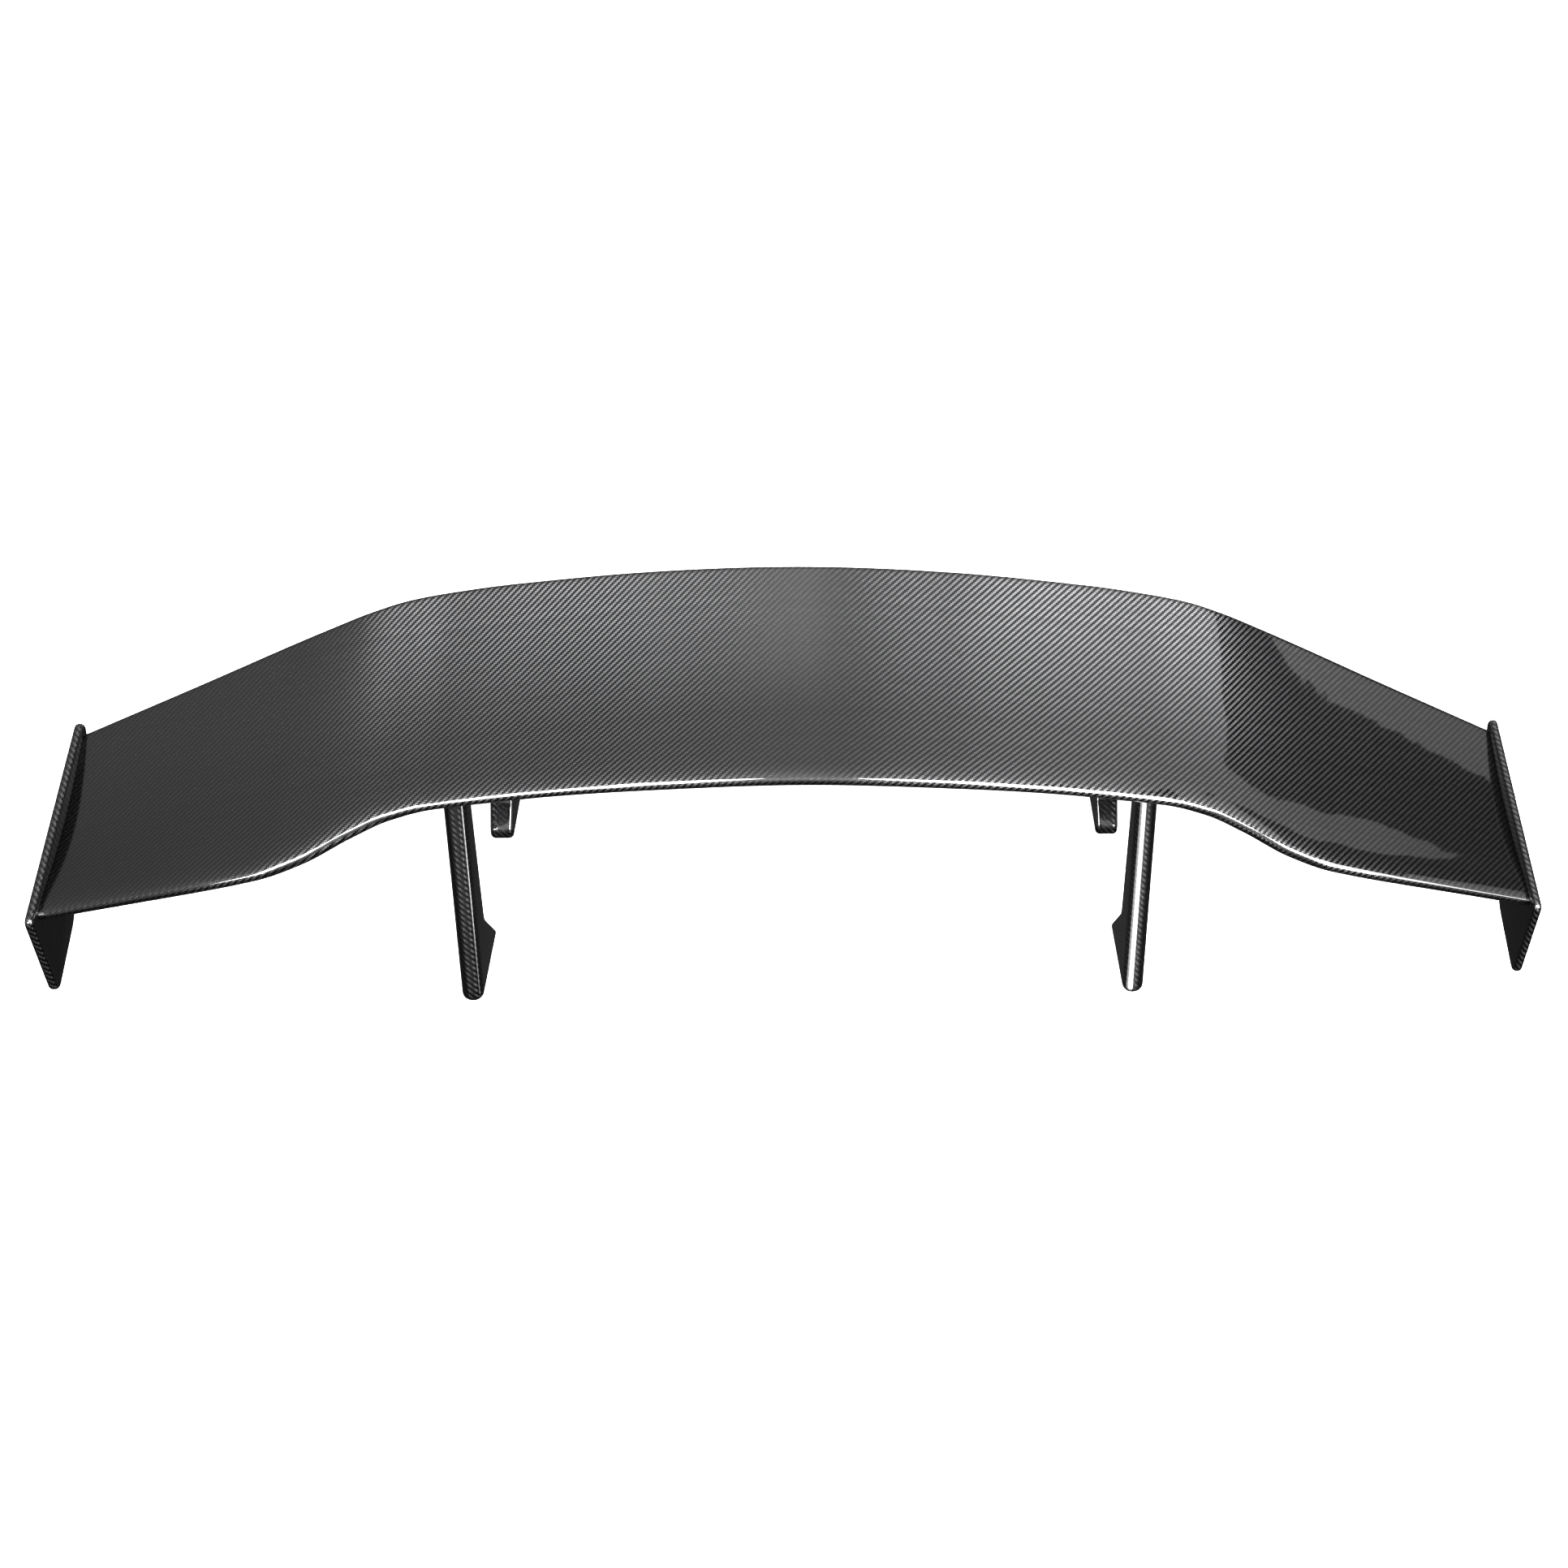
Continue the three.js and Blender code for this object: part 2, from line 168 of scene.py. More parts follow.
# ------------------------------------------------------------- node graphs
class Graph:
    """Thin wrapper that turns numbers and sockets into linked nodes."""

    def __init__(self, tree):
        self.tree = tree

    def node(self, kind, inputs=None, **settings):
        n = self.tree.nodes.new(kind)
        for key, value in settings.items():
            setattr(n, key, value)
        for key, value in (inputs or {}).items():
            self.feed(n.inputs[key], value)
        return n

    def feed(self, socket, value):
        if isinstance(value, bpy.types.NodeSocket):
            self.tree.links.new(value, socket)
        elif value is not None:
            socket.default_value = value

    def math(self, operation, *values):
        n = self.node("ShaderNodeMath", operation=operation)
        for k, value in enumerate(values):
            self.feed(n.inputs[k], value)
        return n.outputs[0]

    def combine(self, x, y, z=0.0):
        return self.node("ShaderNodeCombineXYZ", {"X": x, "Y": y, "Z": z}).outputs[0]

    def noise(self, vector, scale, detail=2.0, roughness=0.5):
        return self.node("ShaderNodeTexNoise", {
            "Vector": vector, "Scale": scale, "Detail": detail, "Roughness": roughness,
        }).outputs["Fac"]

    def between(self, fac, low, high):
        return self.node("ShaderNodeMapRange", {
            "Value": fac, "To Min": low, "To Max": high}).outputs[0]

    def eased(self, value, start, end, low=0.0, high=1.0):
        """low up to start, high past end, and a smooth step between them."""
        return self.node("ShaderNodeMapRange", {
            "Value": value, "From Min": start, "From Max": end, "To Min": low, "To Max": high,
        }, interpolation_type="SMOOTHSTEP").outputs[0]

    def product(self, *values):
        result = values[0]
        for value in values[1:]:
            result = self.math("MULTIPLY", result, value)
        return result

    def vector(self, operation, a, b):
        """Arithmetic on vectors; for SCALE, b is a plain factor."""
        second = "Scale" if operation == "SCALE" else 1
        return self.node("ShaderNodeVectorMath", {0: a, second: b}, operation=operation).outputs[0]

    def bump(self, height, distance, strength=1.0):
        return self.node("ShaderNodeBump", {
            "Height": height, "Strength": strength, "Distance": distance}).outputs[0]

    def ramp(self, fac, stops):
        """Two-stop colour ramp."""
        n = self.node("ShaderNodeValToRGB", {"Fac": fac})
        for end, (position, colour) in zip(n.color_ramp.elements, stops):
            end.position = position
            end.color = (*colour, 1.0)
        return n.outputs["Color"]

    def choose(self, fac, a, b):
        """a where fac is 0, b where it is 1, for plain numbers."""
        n = self.node("ShaderNodeMix", {"Factor": fac}, data_type="FLOAT")
        self.feed(n.inputs["A"], a)
        self.feed(n.inputs["B"], b)
        return n.outputs["Result"]


def material(name):
    m = bpy.data.materials.new(name)
    m.use_nodes = True
    m.node_tree.nodes.clear()
    g = Graph(m.node_tree)
    shader = g.node("ShaderNodeBsdfPrincipled")
    out = g.node("ShaderNodeOutputMaterial", {"Surface": shader.outputs[0]})
    out.is_active_output = True
    return m, g, shader.inputs


def twill(g):
    """2x2 twill from the cloth map: which tow is on top, its relief and its fibre streaks."""
    cloth = g.node("ShaderNodeUVMap", uv_map="cloth").outputs[0]
    wander = g.node("ShaderNodeTexNoise", {"Vector": cloth, "Scale": WANDER_WAVES, "Detail": 1.0})
    pulled = g.vector("SUBTRACT", wander.outputs["Color"], (0.5,) * 3)
    lying = g.vector("ADD", cloth, g.vector("SCALE", pulled, WANDER * MM))
    counted = g.vector("SCALE", lying, 1 / (TOW * MM))
    axes = g.node("ShaderNodeSeparateXYZ", {0: counted})
    u, v = axes.outputs["X"], axes.outputs["Y"]
    i, j = g.math("FLOOR", u), g.math("FLOOR", v)
    warp_run = g.math("FLOORED_MODULO", g.math("ADD", g.math("SUBTRACT", v, i), 1.0), 4.0)
    weft_run = g.math("FLOORED_MODULO", g.math("ADD", g.math("SUBTRACT", u, j), 2.0), 4.0)
    weft = g.math("LESS_THAN", weft_run, 2.0)

    def arch(t):
        """0 at both ends of a 0..1 stretch and 1 in its middle."""
        from_middle = g.math("ABSOLUTE", g.math("MULTIPLY_ADD", t, 2.0, -1.0))
        return g.math("SUBTRACT", 1.0, g.math("POWER", from_middle, 2.4))

    across = g.choose(weft, arch(g.math("FRACT", u)), arch(g.math("FRACT", v)))
    along = g.choose(weft, arch(g.product(warp_run, 0.5)), arch(g.product(weft_run, 0.5)))
    height = g.product(g.math("MULTIPLY_ADD", along, 0.45, 0.55), across)
    fine, drawn_out = 9.0, 0.35             # streaks per tow width, across a tow and along it
    warp_streaks = g.noise(g.combine(g.product(u, fine), g.product(v, drawn_out)), 1.0, 1.0)
    weft_streaks = g.noise(g.combine(g.product(u, drawn_out), g.product(v, fine)), 1.0, 1.0)
    streaks = g.choose(weft, warp_streaks, weft_streaks)
    tow = g.node("ShaderNodeTexWhiteNoise", {
        "Vector": g.combine(g.choose(weft, i, 7.0), g.choose(weft, 3.0, j))}).outputs["Value"]
    return weft, height, streaks, tow


# ------------------------------------------------------------------ materials
# Tone of the tows of either direction (the weft's far lighter tone is partly painted sheen), the
# fibres' gloss, the relief of the weave, and the clear coat with its ripple. Depths in metres.
CARBON = {"warp": 0.010, "weft": 0.042, "metallic": 1.0, "roughness": 0.33, "anisotropic": 0.95,
          "relief": 0.055 * MM, "ripple": 0.05 * MM, "coat_roughness": 0.03, "coat_ior": 1.62}


def lacquered_carbon():
    m, g, s = material("lacquered_carbon")
    weft, height, streaks, tow = twill(g)
    fibre = g.product(g.between(streaks, 0.8, 1.2), g.between(tow, 0.9, 1.1))
    # partly painted sheen: warp and weft are the same fibre, and the weft's higher tone stands in for
    # light caught along it, on top of the real anisotropic gloss
    tone = g.product(fibre, g.choose(weft, CARBON["warp"], CARBON["weft"]))
    # painted shade: the tone falls to 0.35 of itself at the edges of each tow and to about 0.7 where a
    # tow dips under the crossing one, darkening the gaps of the weave
    tone_with_painted_shade = g.product(tone, g.between(height, 0.35, 1.0))
    g.feed(s["Base Color"], g.combine(tone_with_painted_shade, tone_with_painted_shade, g.product(tone_with_painted_shade, 1.03)))
    g.feed(s["Metallic"], CARBON["metallic"])
    g.feed(s["Roughness"], CARBON["roughness"])
    g.feed(s["Anisotropic"], CARBON["anisotropic"])
    g.feed(s["Anisotropic Rotation"], g.product(weft, 0.25))
    along_warp = g.node("ShaderNodeTangent", direction_type="UV_MAP", uv_map="cloth").outputs[0]
    g.feed(s["Tangent"], along_warp)
    g.feed(s["Normal"], g.bump(height, CARBON["relief"]))
    place = g.node("ShaderNodeTexCoord").outputs["Object"]
    # slow waves in the clear coat with a little orange peel, in waves per metre
    waves, peel = g.noise(place, 55.0, 1.0), g.noise(place, 420.0, 1.0)
    ripple = g.math("ADD", waves, g.product(peel, 0.06))
    g.feed(s["Coat Normal"], g.bump(ripple, CARBON["ripple"]))
    g.feed(s["Coat Weight"], 1.0)
    g.feed(s["Coat Roughness"], CARBON["coat_roughness"])
    g.feed(s["Coat IOR"], CARBON["coat_ior"])
    return m


def dry_carbon():
    m, g, s = material("dry_carbon")
    weft, height, streaks, _ = twill(g)
    tone = g.product(g.between(streaks, 0.6, 1.4), g.choose(weft, 0.022, 0.034))
    g.feed(s["Base Color"], g.combine(tone, tone, tone))
    g.feed(s["Roughness"], g.between(height, 0.75, 0.45))
    g.feed(s["Normal"], g.bump(height, 0.15 * MM))
    return m


def foam_core():
    m, g, s = material("foam_core")
    place = g.node("ShaderNodeTexCoord").outputs["Object"]
    cells = g.node("ShaderNodeTexVoronoi", {"Vector": place, "Scale": 900.0}).outputs["Distance"]
    g.feed(s["Base Color"], g.ramp(cells, [(0.0, (0.44, 0.36, 0.2)), (0.7, (0.66, 0.56, 0.36))]))
    g.feed(s["Roughness"], g.between(cells, 0.95, 0.8))
    g.feed(s["Normal"], g.bump(cells, 0.25 * MM))
    return m


def metal(name, dark, light, rough, grain, stretch):
    """Metal with tool marks: noise stretched along one axis of the part."""
    m, g, s = material(name)
    place = g.node("ShaderNodeTexCoord").outputs["Object"]
    marks = g.noise(g.vector("MULTIPLY", place, stretch), grain, 3.0, 0.6)
    patches = g.product(g.noise(place, 70.0, 2.0), 0.4)
    blend = g.math("MULTIPLY_ADD", marks, 0.6, patches)
    g.feed(s["Base Color"], g.ramp(blend, [(0.3, dark), (0.7, light)]))
    g.feed(s["Metallic"], 1.0)
    g.feed(s["Roughness"], g.between(marks, rough * 0.75, rough * 1.25))
    g.feed(s["Normal"], g.bump(marks, 0.02 * MM, 0.5))
    return m


# Darkest and lightest tone, roughness, marks per metre, and how they are scaled on each axis.
METALS = {
    "alloy": ((0.42, 0.43, 0.45), (0.6, 0.61, 0.63), 0.34, 500.0, (1.0, 0.06, 1.0)),
    "stainless": ((0.5, 0.5, 0.49), (0.68, 0.68, 0.67), 0.24, 900.0, (0.2, 1.0, 1.0)),
    "black_steel": ((0.02, 0.02, 0.022), (0.05, 0.05, 0.055), 0.42, 900.0, (1.0, 1.0, 0.3)),
}
MATERIALS = {
    "lacquered_carbon": lacquered_carbon(),
    "dry_carbon": dry_carbon(),
    "foam_core": foam_core(),
}
for name, look in METALS.items():
    MATERIALS[name] = metal(name, *look)


# ------------------------------------------------------------- blade mouldings
def spaced(edges, step):
    """Values from the first edge to the last, through each edge, about `step` apart."""
    parts = [np.linspace(a, b, max(2, int(math.ceil((b - a) / step)) + 1))[:-1]
             for a, b in zip(edges, edges[1:])]
    return np.concatenate(parts + [[edges[-1]]])


BENDS = [400, 620]      # where the blade starts and stops bending down toward the tip
STEP = 7.0              # spacing of the sections across the span
NOSE = 0.04             # chord fraction over which the points crowd toward the leading edge
USUAL_CHORD = 270.0     # chord for which the points on the rolled trailing edge are set
INNER_END = 0.97        # chord fraction where the hollow ends ahead of the trailing edge


def section_fractions():
    """Chord fractions of the outer surface, nose to tail, and of the inner one on the way back."""
    roll = 1 - ROLL / USUAL_CHORD
    nose = np.linspace(0, math.sqrt(NOSE), 15) ** 2
    rolled = 1 - (1 - roll) * (1 - np.sin(np.linspace(0, math.pi / 2, 8)))
    out = np.concatenate([nose[:-1], np.linspace(NOSE, roll, 46)[:-1], rolled])
    back = np.concatenate([np.linspace(INNER_END, NOSE, 30), nose[-2::-3]])
    return out, back


def moulding(name, side, node):
    """Upper (side 1) or lower (-1) half of the hollow blade, with its inner surface."""
    half = spaced([0, *BENDS, TIP_X], STEP)
    xs = np.concatenate([-half[:0:-1], half])
    us, back = section_fractions()
    outer = np.stack([skin_point(np.full_like(us, x), us, side) for x in xs])
    inner = np.stack([skin_point(np.full_like(back, x), back, side, SKIN) for x in xs])
    rings = np.concatenate([outer, inner], axis=1)

    count = rings.shape[1]
    from_middle = arc_lengths(on_blade(half, 0.5 + 0 * half, 0 * half))
    span = np.concatenate([-from_middle[:0:-1], from_middle])
    depth = np.stack([lead_y(x) + side * arc_lengths(ring) for x, ring in zip(xs, rings)])
    faces, uvs, slots = [], [], []
    for r in range(len(xs) - 1):
        for k in range(count):
            n = (k + 1) % count
            corners = [(r, k), (r + 1, k), (r + 1, n), (r, n)]
            if side < 0:
                corners.reverse()
            faces.append([a * count + b for a, b in corners])
            uvs.append([(span[a], depth[a][b] if b or k == 0 else depth[a][-1]) for a, b in corners])
            slots.append(0 if k < len(us) - 1 else 1)
    for r in (0, len(xs) - 1):
        cap = [(r, k) for k in range(count)]
        if (r == 0) == (side > 0):
            cap.reverse()
        faces.append([a * count + b for a, b in cap][::-1])
        uvs.append([(rings[a][b][1], rings[a][b][2]) for a, b in cap][::-1])
        slots.append(1)
    obj = piece(name, rings.reshape(-1, 3), faces, uvs,
                [MATERIALS["lacquered_carbon"], MATERIALS["dry_carbon"]], slots)
    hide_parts(node)
    return obj


moulding("upper_blade_moulding", 1, "blade_upper_skin")
moulding("lower_blade_moulding", -1, "blade_lower_skin")


# ----------------------------------------------------------- plates and uprights
def fillet(corners, arc_step=1.2, straight_step=20.0):
    """Corner points (y, z, radius, rim) as a rounded outline of (y, z, rim), evenly stepped."""
    bends = []
    for i, (y, z, r, rim) in enumerate(corners):
        p = Vector((y, z))
        a = (Vector(corners[i - 1][:2]) - p).normalized()
        b = (Vector(corners[(i + 1) % len(corners)][:2]) - p).normalized()
        half = math.acos(max(-1, min(1, a.dot(b)))) / 2
        centre = p + (a + b).normalized() * (r / math.sin(half))
        start, end = (p + d * (r / math.tan(half)) - centre for d in (a, b))
        turn = math.atan2(start.x * end.y - start.y * end.x, start.dot(end))
        steps = max(4, math.ceil(abs(turn) * r / arc_step), math.ceil(abs(turn) / 0.12))
        bends.append([(*(centre + Matrix.Rotation(turn * k / steps, 2) @ start), rim)
                      for k in range(steps + 1)])
    outline = []
    for bend, after in zip(bends, bends[1:] + bends[:1]):
        outline += bend
        gap = math.dist(bend[-1][:2], after[0][:2])
        for k in range(1, int(gap // straight_step) + 1):
            t = k / (int(gap // straight_step) + 1)
            outline.append(tuple(a + (b - a) * t for a, b in zip(bend[-1], after[0])))
    return np.array(outline)


def signed_area(outline):
    """Twice the outline's area, positive when it runs from +Y toward +Z."""
    following = np.roll(outline, -1, axis=0)
    return np.sum(outline[:, 0] * following[:, 1] - following[:, 0] * outline[:, 1])


def inward_directions(outline):
    """Way in at each point, as long as it takes to move both neighbouring edges by 1."""
    ahead = np.roll(outline, -1, axis=0)[:, :2] - outline[:, :2]
    normal = np.stack([-ahead[:, 1], ahead[:, 0]], axis=1)
    normal /= np.linalg.norm(normal, axis=1, keepdims=True)
    blend = normal + np.roll(normal, 1, axis=0)
    return blend / np.sum(blend * normal, axis=1, keepdims=True)


def slab(name, corners, x0, x1, node, rim_steps=9):
    """Plate between two X planes whose rims are rounded, wrapped in cloth."""
    outline = fillet(corners)
    if signed_area(outline) < 0:
        outline = outline[::-1]
    inward = inward_directions(outline)
    rim = outline[:, 2]
    turns = np.linspace(0, math.pi / 2, rim_steps + 1)

    def ring(x, w, sign):
        sunk = rim * (1 - math.sin(w))
        yz = outline[:, :2] + inward * sunk[:, None]
        return np.column_stack([x + sign * rim * (1 - math.cos(w)), yz])

    low = [ring(x0, w, 1) for w in turns]
    high = [ring(x1, w, -1) for w in turns[::-1]]
    flat = [low[-1] + (high[0] - low[-1]) * t for t in np.linspace(0, 1, 5)[1:-1]]
    rings = np.stack(low + flat + high)
    around = arc_lengths(np.vstack([outline[:, :2], outline[:1, :2]]))
    up = np.stack([arc_lengths(rings[:, k]) for k in range(rings.shape[1])], axis=1)
    count = rings.shape[1]
    faces, uvs = [], []
    for r in range(len(rings) - 1):
        for k in range(count):
            n = (k + 1) % count
            faces.append([r * count + k, r * count + n, (r + 1) * count + n, (r + 1) * count + k])
            uvs.append([(up[r][k], around[k]), (up[r][n], around[k + 1]),
                        (up[r + 1][n], around[k + 1]), (up[r + 1][k], around[k])])
    last = len(rings) - 1
    faces += [list(range(count))[::-1], [last * count + k for k in range(count)]]
    uvs += [[tuple(rings[0][k][1:]) for k in range(count)][::-1],
            [tuple(rings[last][k][1:]) for k in range(count)]]
    if x1 > x0:
        faces = [f[::-1] for f in faces]
        uvs = [c[::-1] for c in uvs]
    obj = piece(name, rings.reshape(-1, 3), faces, uvs, [MATERIALS["lacquered_carbon"]], sharp=50)
    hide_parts(node)
    return obj


def rail_z(y):
    """Straight underside of the top rail."""
    return -50 + (y - 100) * RAIL_SLOPE


FRONT_LEG = [
    (84, rail_z(84) - FIT, 13, 12), (121, rail_z(121) - FIT, 4, 3), (81, -284, 26, 3),
    (133, FLOOR_Z + 1, 4, 3), (3, FLOOR_Z + 1, 13, 12),
]
REAR_LEG = [
    (182, rail_z(182) - FIT, 7, 3.5), (222, rail_z(222) - FIT, 4, 3.5), (396, FLOOR_Z + 26, 24, 3.5),
    (404, FLOOR_Z + 1, 5, 4.5), (299, FLOOR_Z + 1, 7, 6.5), (302, FLOOR_Z + 17, 8, 6),
    (345, FLOOR_Z + 62, 36, 4),
]
ENDPLATE_OUTLINE = [
    (-65, -139, 9, 4), (-65, -256, 11, 4), (20, -227, 60, 4), (126, -162, 120, 4),
    (199, -90, 24, 4), (205, -67, 9, 4),
]

for side, s in (("left", 1), ("right", -1)):
    for end, corners in (("front", FRONT_LEG), ("rear", REAR_LEG)):
        middle, half = s * LEG_X, LEG_W[end] / 2
        slab(f"{end}_upright_{side}", corners, middle - half, middle + half, f"{end}_leg_{side}")
    low, high = sorted((s * (TIP_X + FIT), s * (TIP_X + FIT + ENDPLATE)))
    slab(f"endplate_panel_{side}", ENDPLATE_OUTLINE, low, high, f"endplate_{side}")


# ------------------------------------------------------ fasteners and rails
def revolve(name, profile, at_mm, axis, slot, node, sides=48):
    """Turned piece along an axis; profile rows are (radius, height, hexagonal)."""
    turn = Vector((0, 0, 1)).rotation_difference(Vector(axis)).to_matrix()
    verts, faces, uvs = [], [], []
    angles = [2 * math.pi * k / sides for k in range(sides)]
    for r, h, hexed in profile:
        for w in angles:
            across = r / math.cos((w + math.pi / 6) % (math.pi / 3) - math.pi / 6) if hexed else r
            rim_point = Vector((across * math.cos(w), across * math.sin(w), h))
            verts.append(Vector(at_mm) + turn @ rim_point)
    for k in range(len(profile) - 1):
        for a in range(sides):
            b = (a + 1) % sides
            faces.append([k * sides + a, k * sides + b, (k + 1) * sides + b, (k + 1) * sides + a])
            uvs.append([(a, k), (a + 1, k), (a + 1, k + 1), (a, k + 1)])
    last = (len(profile) - 1) * sides
    closed = profile[0] != profile[-1]
    if closed:
        faces += [list(range(sides))[::-1], [last + a for a in range(sides)]]
        disc = [(math.cos(w), math.sin(w)) for w in angles]
        uvs += [disc[::-1], disc]
    obj = piece(name, verts, faces, uvs, [MATERIALS[slot]])
    if not closed:
        mesh = bmesh.new()
        mesh.from_mesh(obj.data)
        bmesh.ops.remove_doubles(mesh, verts=mesh.verts, dist=1e-7)
        mesh.to_mesh(obj.data)
        mesh.free()
    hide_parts(node)
    return obj


BUTTON_HEAD = [   # M5 button-head screw with a 3 mm hexagon socket, from tip to socket floor
    (1.9, -26, False), (2.3, -25.2, False), (2.5, -24.8, False), (2.5, 1.6, False), (4.55, 1.8, False),
    (4.75, 2.0, False), (4.75, 2.5, False), (4.5, 3.1, False), (4.0, 3.8, False), (3.3, 4.35, False),
    (2.6, 4.65, False), (1.95, 4.7, False), (1.75, 4.65, True), (1.6, 4.5, True), (1.6, 3.0, True),
]
WASHER = [
    (2.85, 0.5, False), (3.05, 0.3, False), (6.8, 0.3, False), (7, 0.5, False), (7, 1.3, False),
    (6.8, 1.5, False), (3.05, 1.5, False), (2.85, 1.3, False), (2.85, 0.5, False),
]
CAP_HEAD = [      # M6 low-head bolt hanging head-down below the rail, from socket to tip
    (2.4, -3.2, True), (2.4, -6.0, True), (2.6, -6.25, True), (4.5, -6.3, False), (4.85, -6.15, False),
    (5, -5.8, False), (5, -0.6, False), (4.8, -0.3, False), (3, -0.3, False), (3, 24, False),
    (2.4, 24.8, False),
]
SCREW_U = (0.16, 0.42, 0.68)    # chord fractions of the endplate screws
BOLT_Y = (135, 168)
RAIL_AXIS = Vector((0, -RAIL_SLOPE, 1)).normalized()

for side, s in (("left", 1), ("right", -1)):
    face = s * (TIP_X + FIT + ENDPLATE)
    for k, u in enumerate(SCREW_U, 1):
        tip = on_blade(TIP_X, u, mean_line(TIP_X, u))
        spot = (face, tip[1], tip[2])
        revolve(f"button_screw_{side}_{k}", BUTTON_HEAD, spot, (s, 0, 0), "stainless",
                f"endplate_screw_{side}_{k}")
        revolve(f"washer_{side}_{k}", WASHER, spot, (s, 0, 0), "stainless",
                f"endplate_washer_{side}_{k}")
    for k, y in enumerate(BOLT_Y, 1):
        revolve(f"cap_bolt_{side}_{k}", CAP_HEAD, (s * LEG_X, y, rail_z(y)), RAIL_AXIS,
                "black_steel", f"rail_bolt_{side}_{k}")


def softened(node, width, slot):
    """The CAD piece with its sharp edges broken by a small round."""
    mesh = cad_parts[node].data.copy()
    mesh.name = f"{node}_machined"
    work = bmesh.new()
    work.from_mesh(mesh)
    bmesh.ops.remove_doubles(work, verts=work.verts, dist=1e-6)
    bmesh.ops.dissolve_limit(work, angle_limit=math.radians(1.0), verts=work.verts,
                             edges=work.edges)
    work.to_mesh(mesh)
    work.free()
    mesh.materials.clear()
    mesh.materials.append(MATERIALS[slot])
    mesh.shade_smooth()
    edge_angle = math.radians(30)
    mesh.set_sharp_from_angle(angle=edge_angle)
    obj = bpy.data.objects.new(f"{node}_machined", mesh)
    bpy.context.scene.collection.objects.link(obj)
    bevel = obj.modifiers.new("bevel", "BEVEL")
    bevel.width = width
    bevel.segments = 3
    bevel.limit_method = "ANGLE"
    bevel.angle_limit = edge_angle
    bevel.harden_normals = True
    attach(obj, "root")
    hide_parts(node)
    return obj


EDGE_ROUND = {"top_rail": 1.2, "front_base_plate": 0.6, "rear_base_plate": 0.6}     # mm

for side in ("left", "right"):
    for part, width in EDGE_ROUND.items():
        softened(f"{part}_{side}", width * MM, "alloy")

# --------------------------------------------- CAD nodes that stay, hidden inside
KEPT = {
    "dry_carbon": ["front_spar", "rear_spar", "tip_rib_left", "tip_rib_right"],
    "foam_core": ["rib_centre", "rib_inner_left", "rib_inner_right", "rib_outer_left",
                  "rib_outer_right"],
    "alloy": ["mount_block_left", "mount_block_right"],
}
for slot, nodes in KEPT.items():
    for node in nodes:
        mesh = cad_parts[node].data
        mesh.materials.clear()
        mesh.materials.append(MATERIALS[slot])


# ----------------------------------------------------------- camera and stage
# From here on, left and right are as the camera sees them, so right is +X. Only the pieces
# keep the driver's left and right in their names.

# Place, lens and sensor in millimetres, angles in degrees, far limit in metres.
CAMERA = {"at": (22.4, -1625.3, 1419.2), "pitch": 41.0, "yaw": 5.7, "roll": 3.455,
          "lens": 44.72, "sensor": 36, "shift": -0.1191, "far": 60}

camera = bpy.data.objects.new("camera", bpy.data.cameras.new("camera"))
camera.data.lens = CAMERA["lens"]
camera.data.sensor_width = CAMERA["sensor"]
camera.data.shift_x = CAMERA["shift"]
camera.data.clip_end = CAMERA["far"]
look = (Matrix.Rotation(math.radians(-CAMERA["yaw"]), 3, "Z")
        @ Matrix.Rotation(math.radians(90 - CAMERA["pitch"]), 3, "X")
        @ Matrix.Rotation(math.radians(CAMERA["roll"]), 3, "Z"))
camera.matrix_world = Matrix.Translation(Vector(CAMERA["at"]) * MM + ORIGIN) @ look.to_4x4()
bpy.context.scene.collection.objects.link(camera)
bpy.context.scene.camera = camera


WING_MIDDLE = ORIGIN + Vector((0, 0.12, 0))


def softbox(name, centre, size, radiance, facing=WING_MIDDLE):
    """Area light turned toward the middle of the wing unless told otherwise."""
    data = bpy.data.lights.new(name, "AREA")
    data.shape = "RECTANGLE"
    data.size, data.size_y = size
    data.energy = radiance * math.pi * size[0] * size[1]
    lamp = bpy.data.objects.new(name, data)
    lamp.location = centre
    aim = Vector(facing) - Vector(centre)
    lamp.rotation_euler = aim.to_track_quat("-Z", "Y").to_euler()
    lamp.visible_camera = False
    bpy.context.scene.collection.objects.link(lamp)
    return lamp


# Softboxes above and ahead of the wing: name, centre, size, radiance.
SOFTBOXES = [
    ("softbox_front_left", (-1.56, -2.77, 3.06), (1.0, 3.0), 55.0),
    ("softbox_front_right", (1.62, -2.77, 3.06), (0.9, 3.0), 92.0),
    ("softbox_far_right", (2.6, -2.3, 2.9), (1.2, 2.6), 15.0),
]
for row in SOFTBOXES:
    softbox(*row)

# Two low cards side by side, for the front uprights only and kept out of the blade's
# reflections: name, x of the middle, width, radiance.
LOW_CARDS = [("low_card_bright", 0.315, 0.19, 20.0), ("low_card_dim", 0.11, 0.22, 5.0)]
CARD_Y, CARD_Z, CARD_HEIGHT = -0.34, 0.01, 0.54
uprights = bpy.data.collections.new("lit_by_the_low_cards")
for side in ("left", "right"):
    uprights.objects.link(bpy.data.objects[f"front_upright_{side}"])
for name, x, width, radiance in LOW_CARDS:
    card = softbox(name, (x, CARD_Y, CARD_Z), (width, CARD_HEIGHT), radiance, (x, 0.0, CARD_Z))
    card.light_linking.receiver_collection = uprights


FLOOR_REACH = 14.0
FLOOR_DROP = 0.001      # keeps the floor clear of the undersides of the feet
FLOOR_GLOW = 0.8        # so bright that the shadows on it wash out, as on the photo's ground


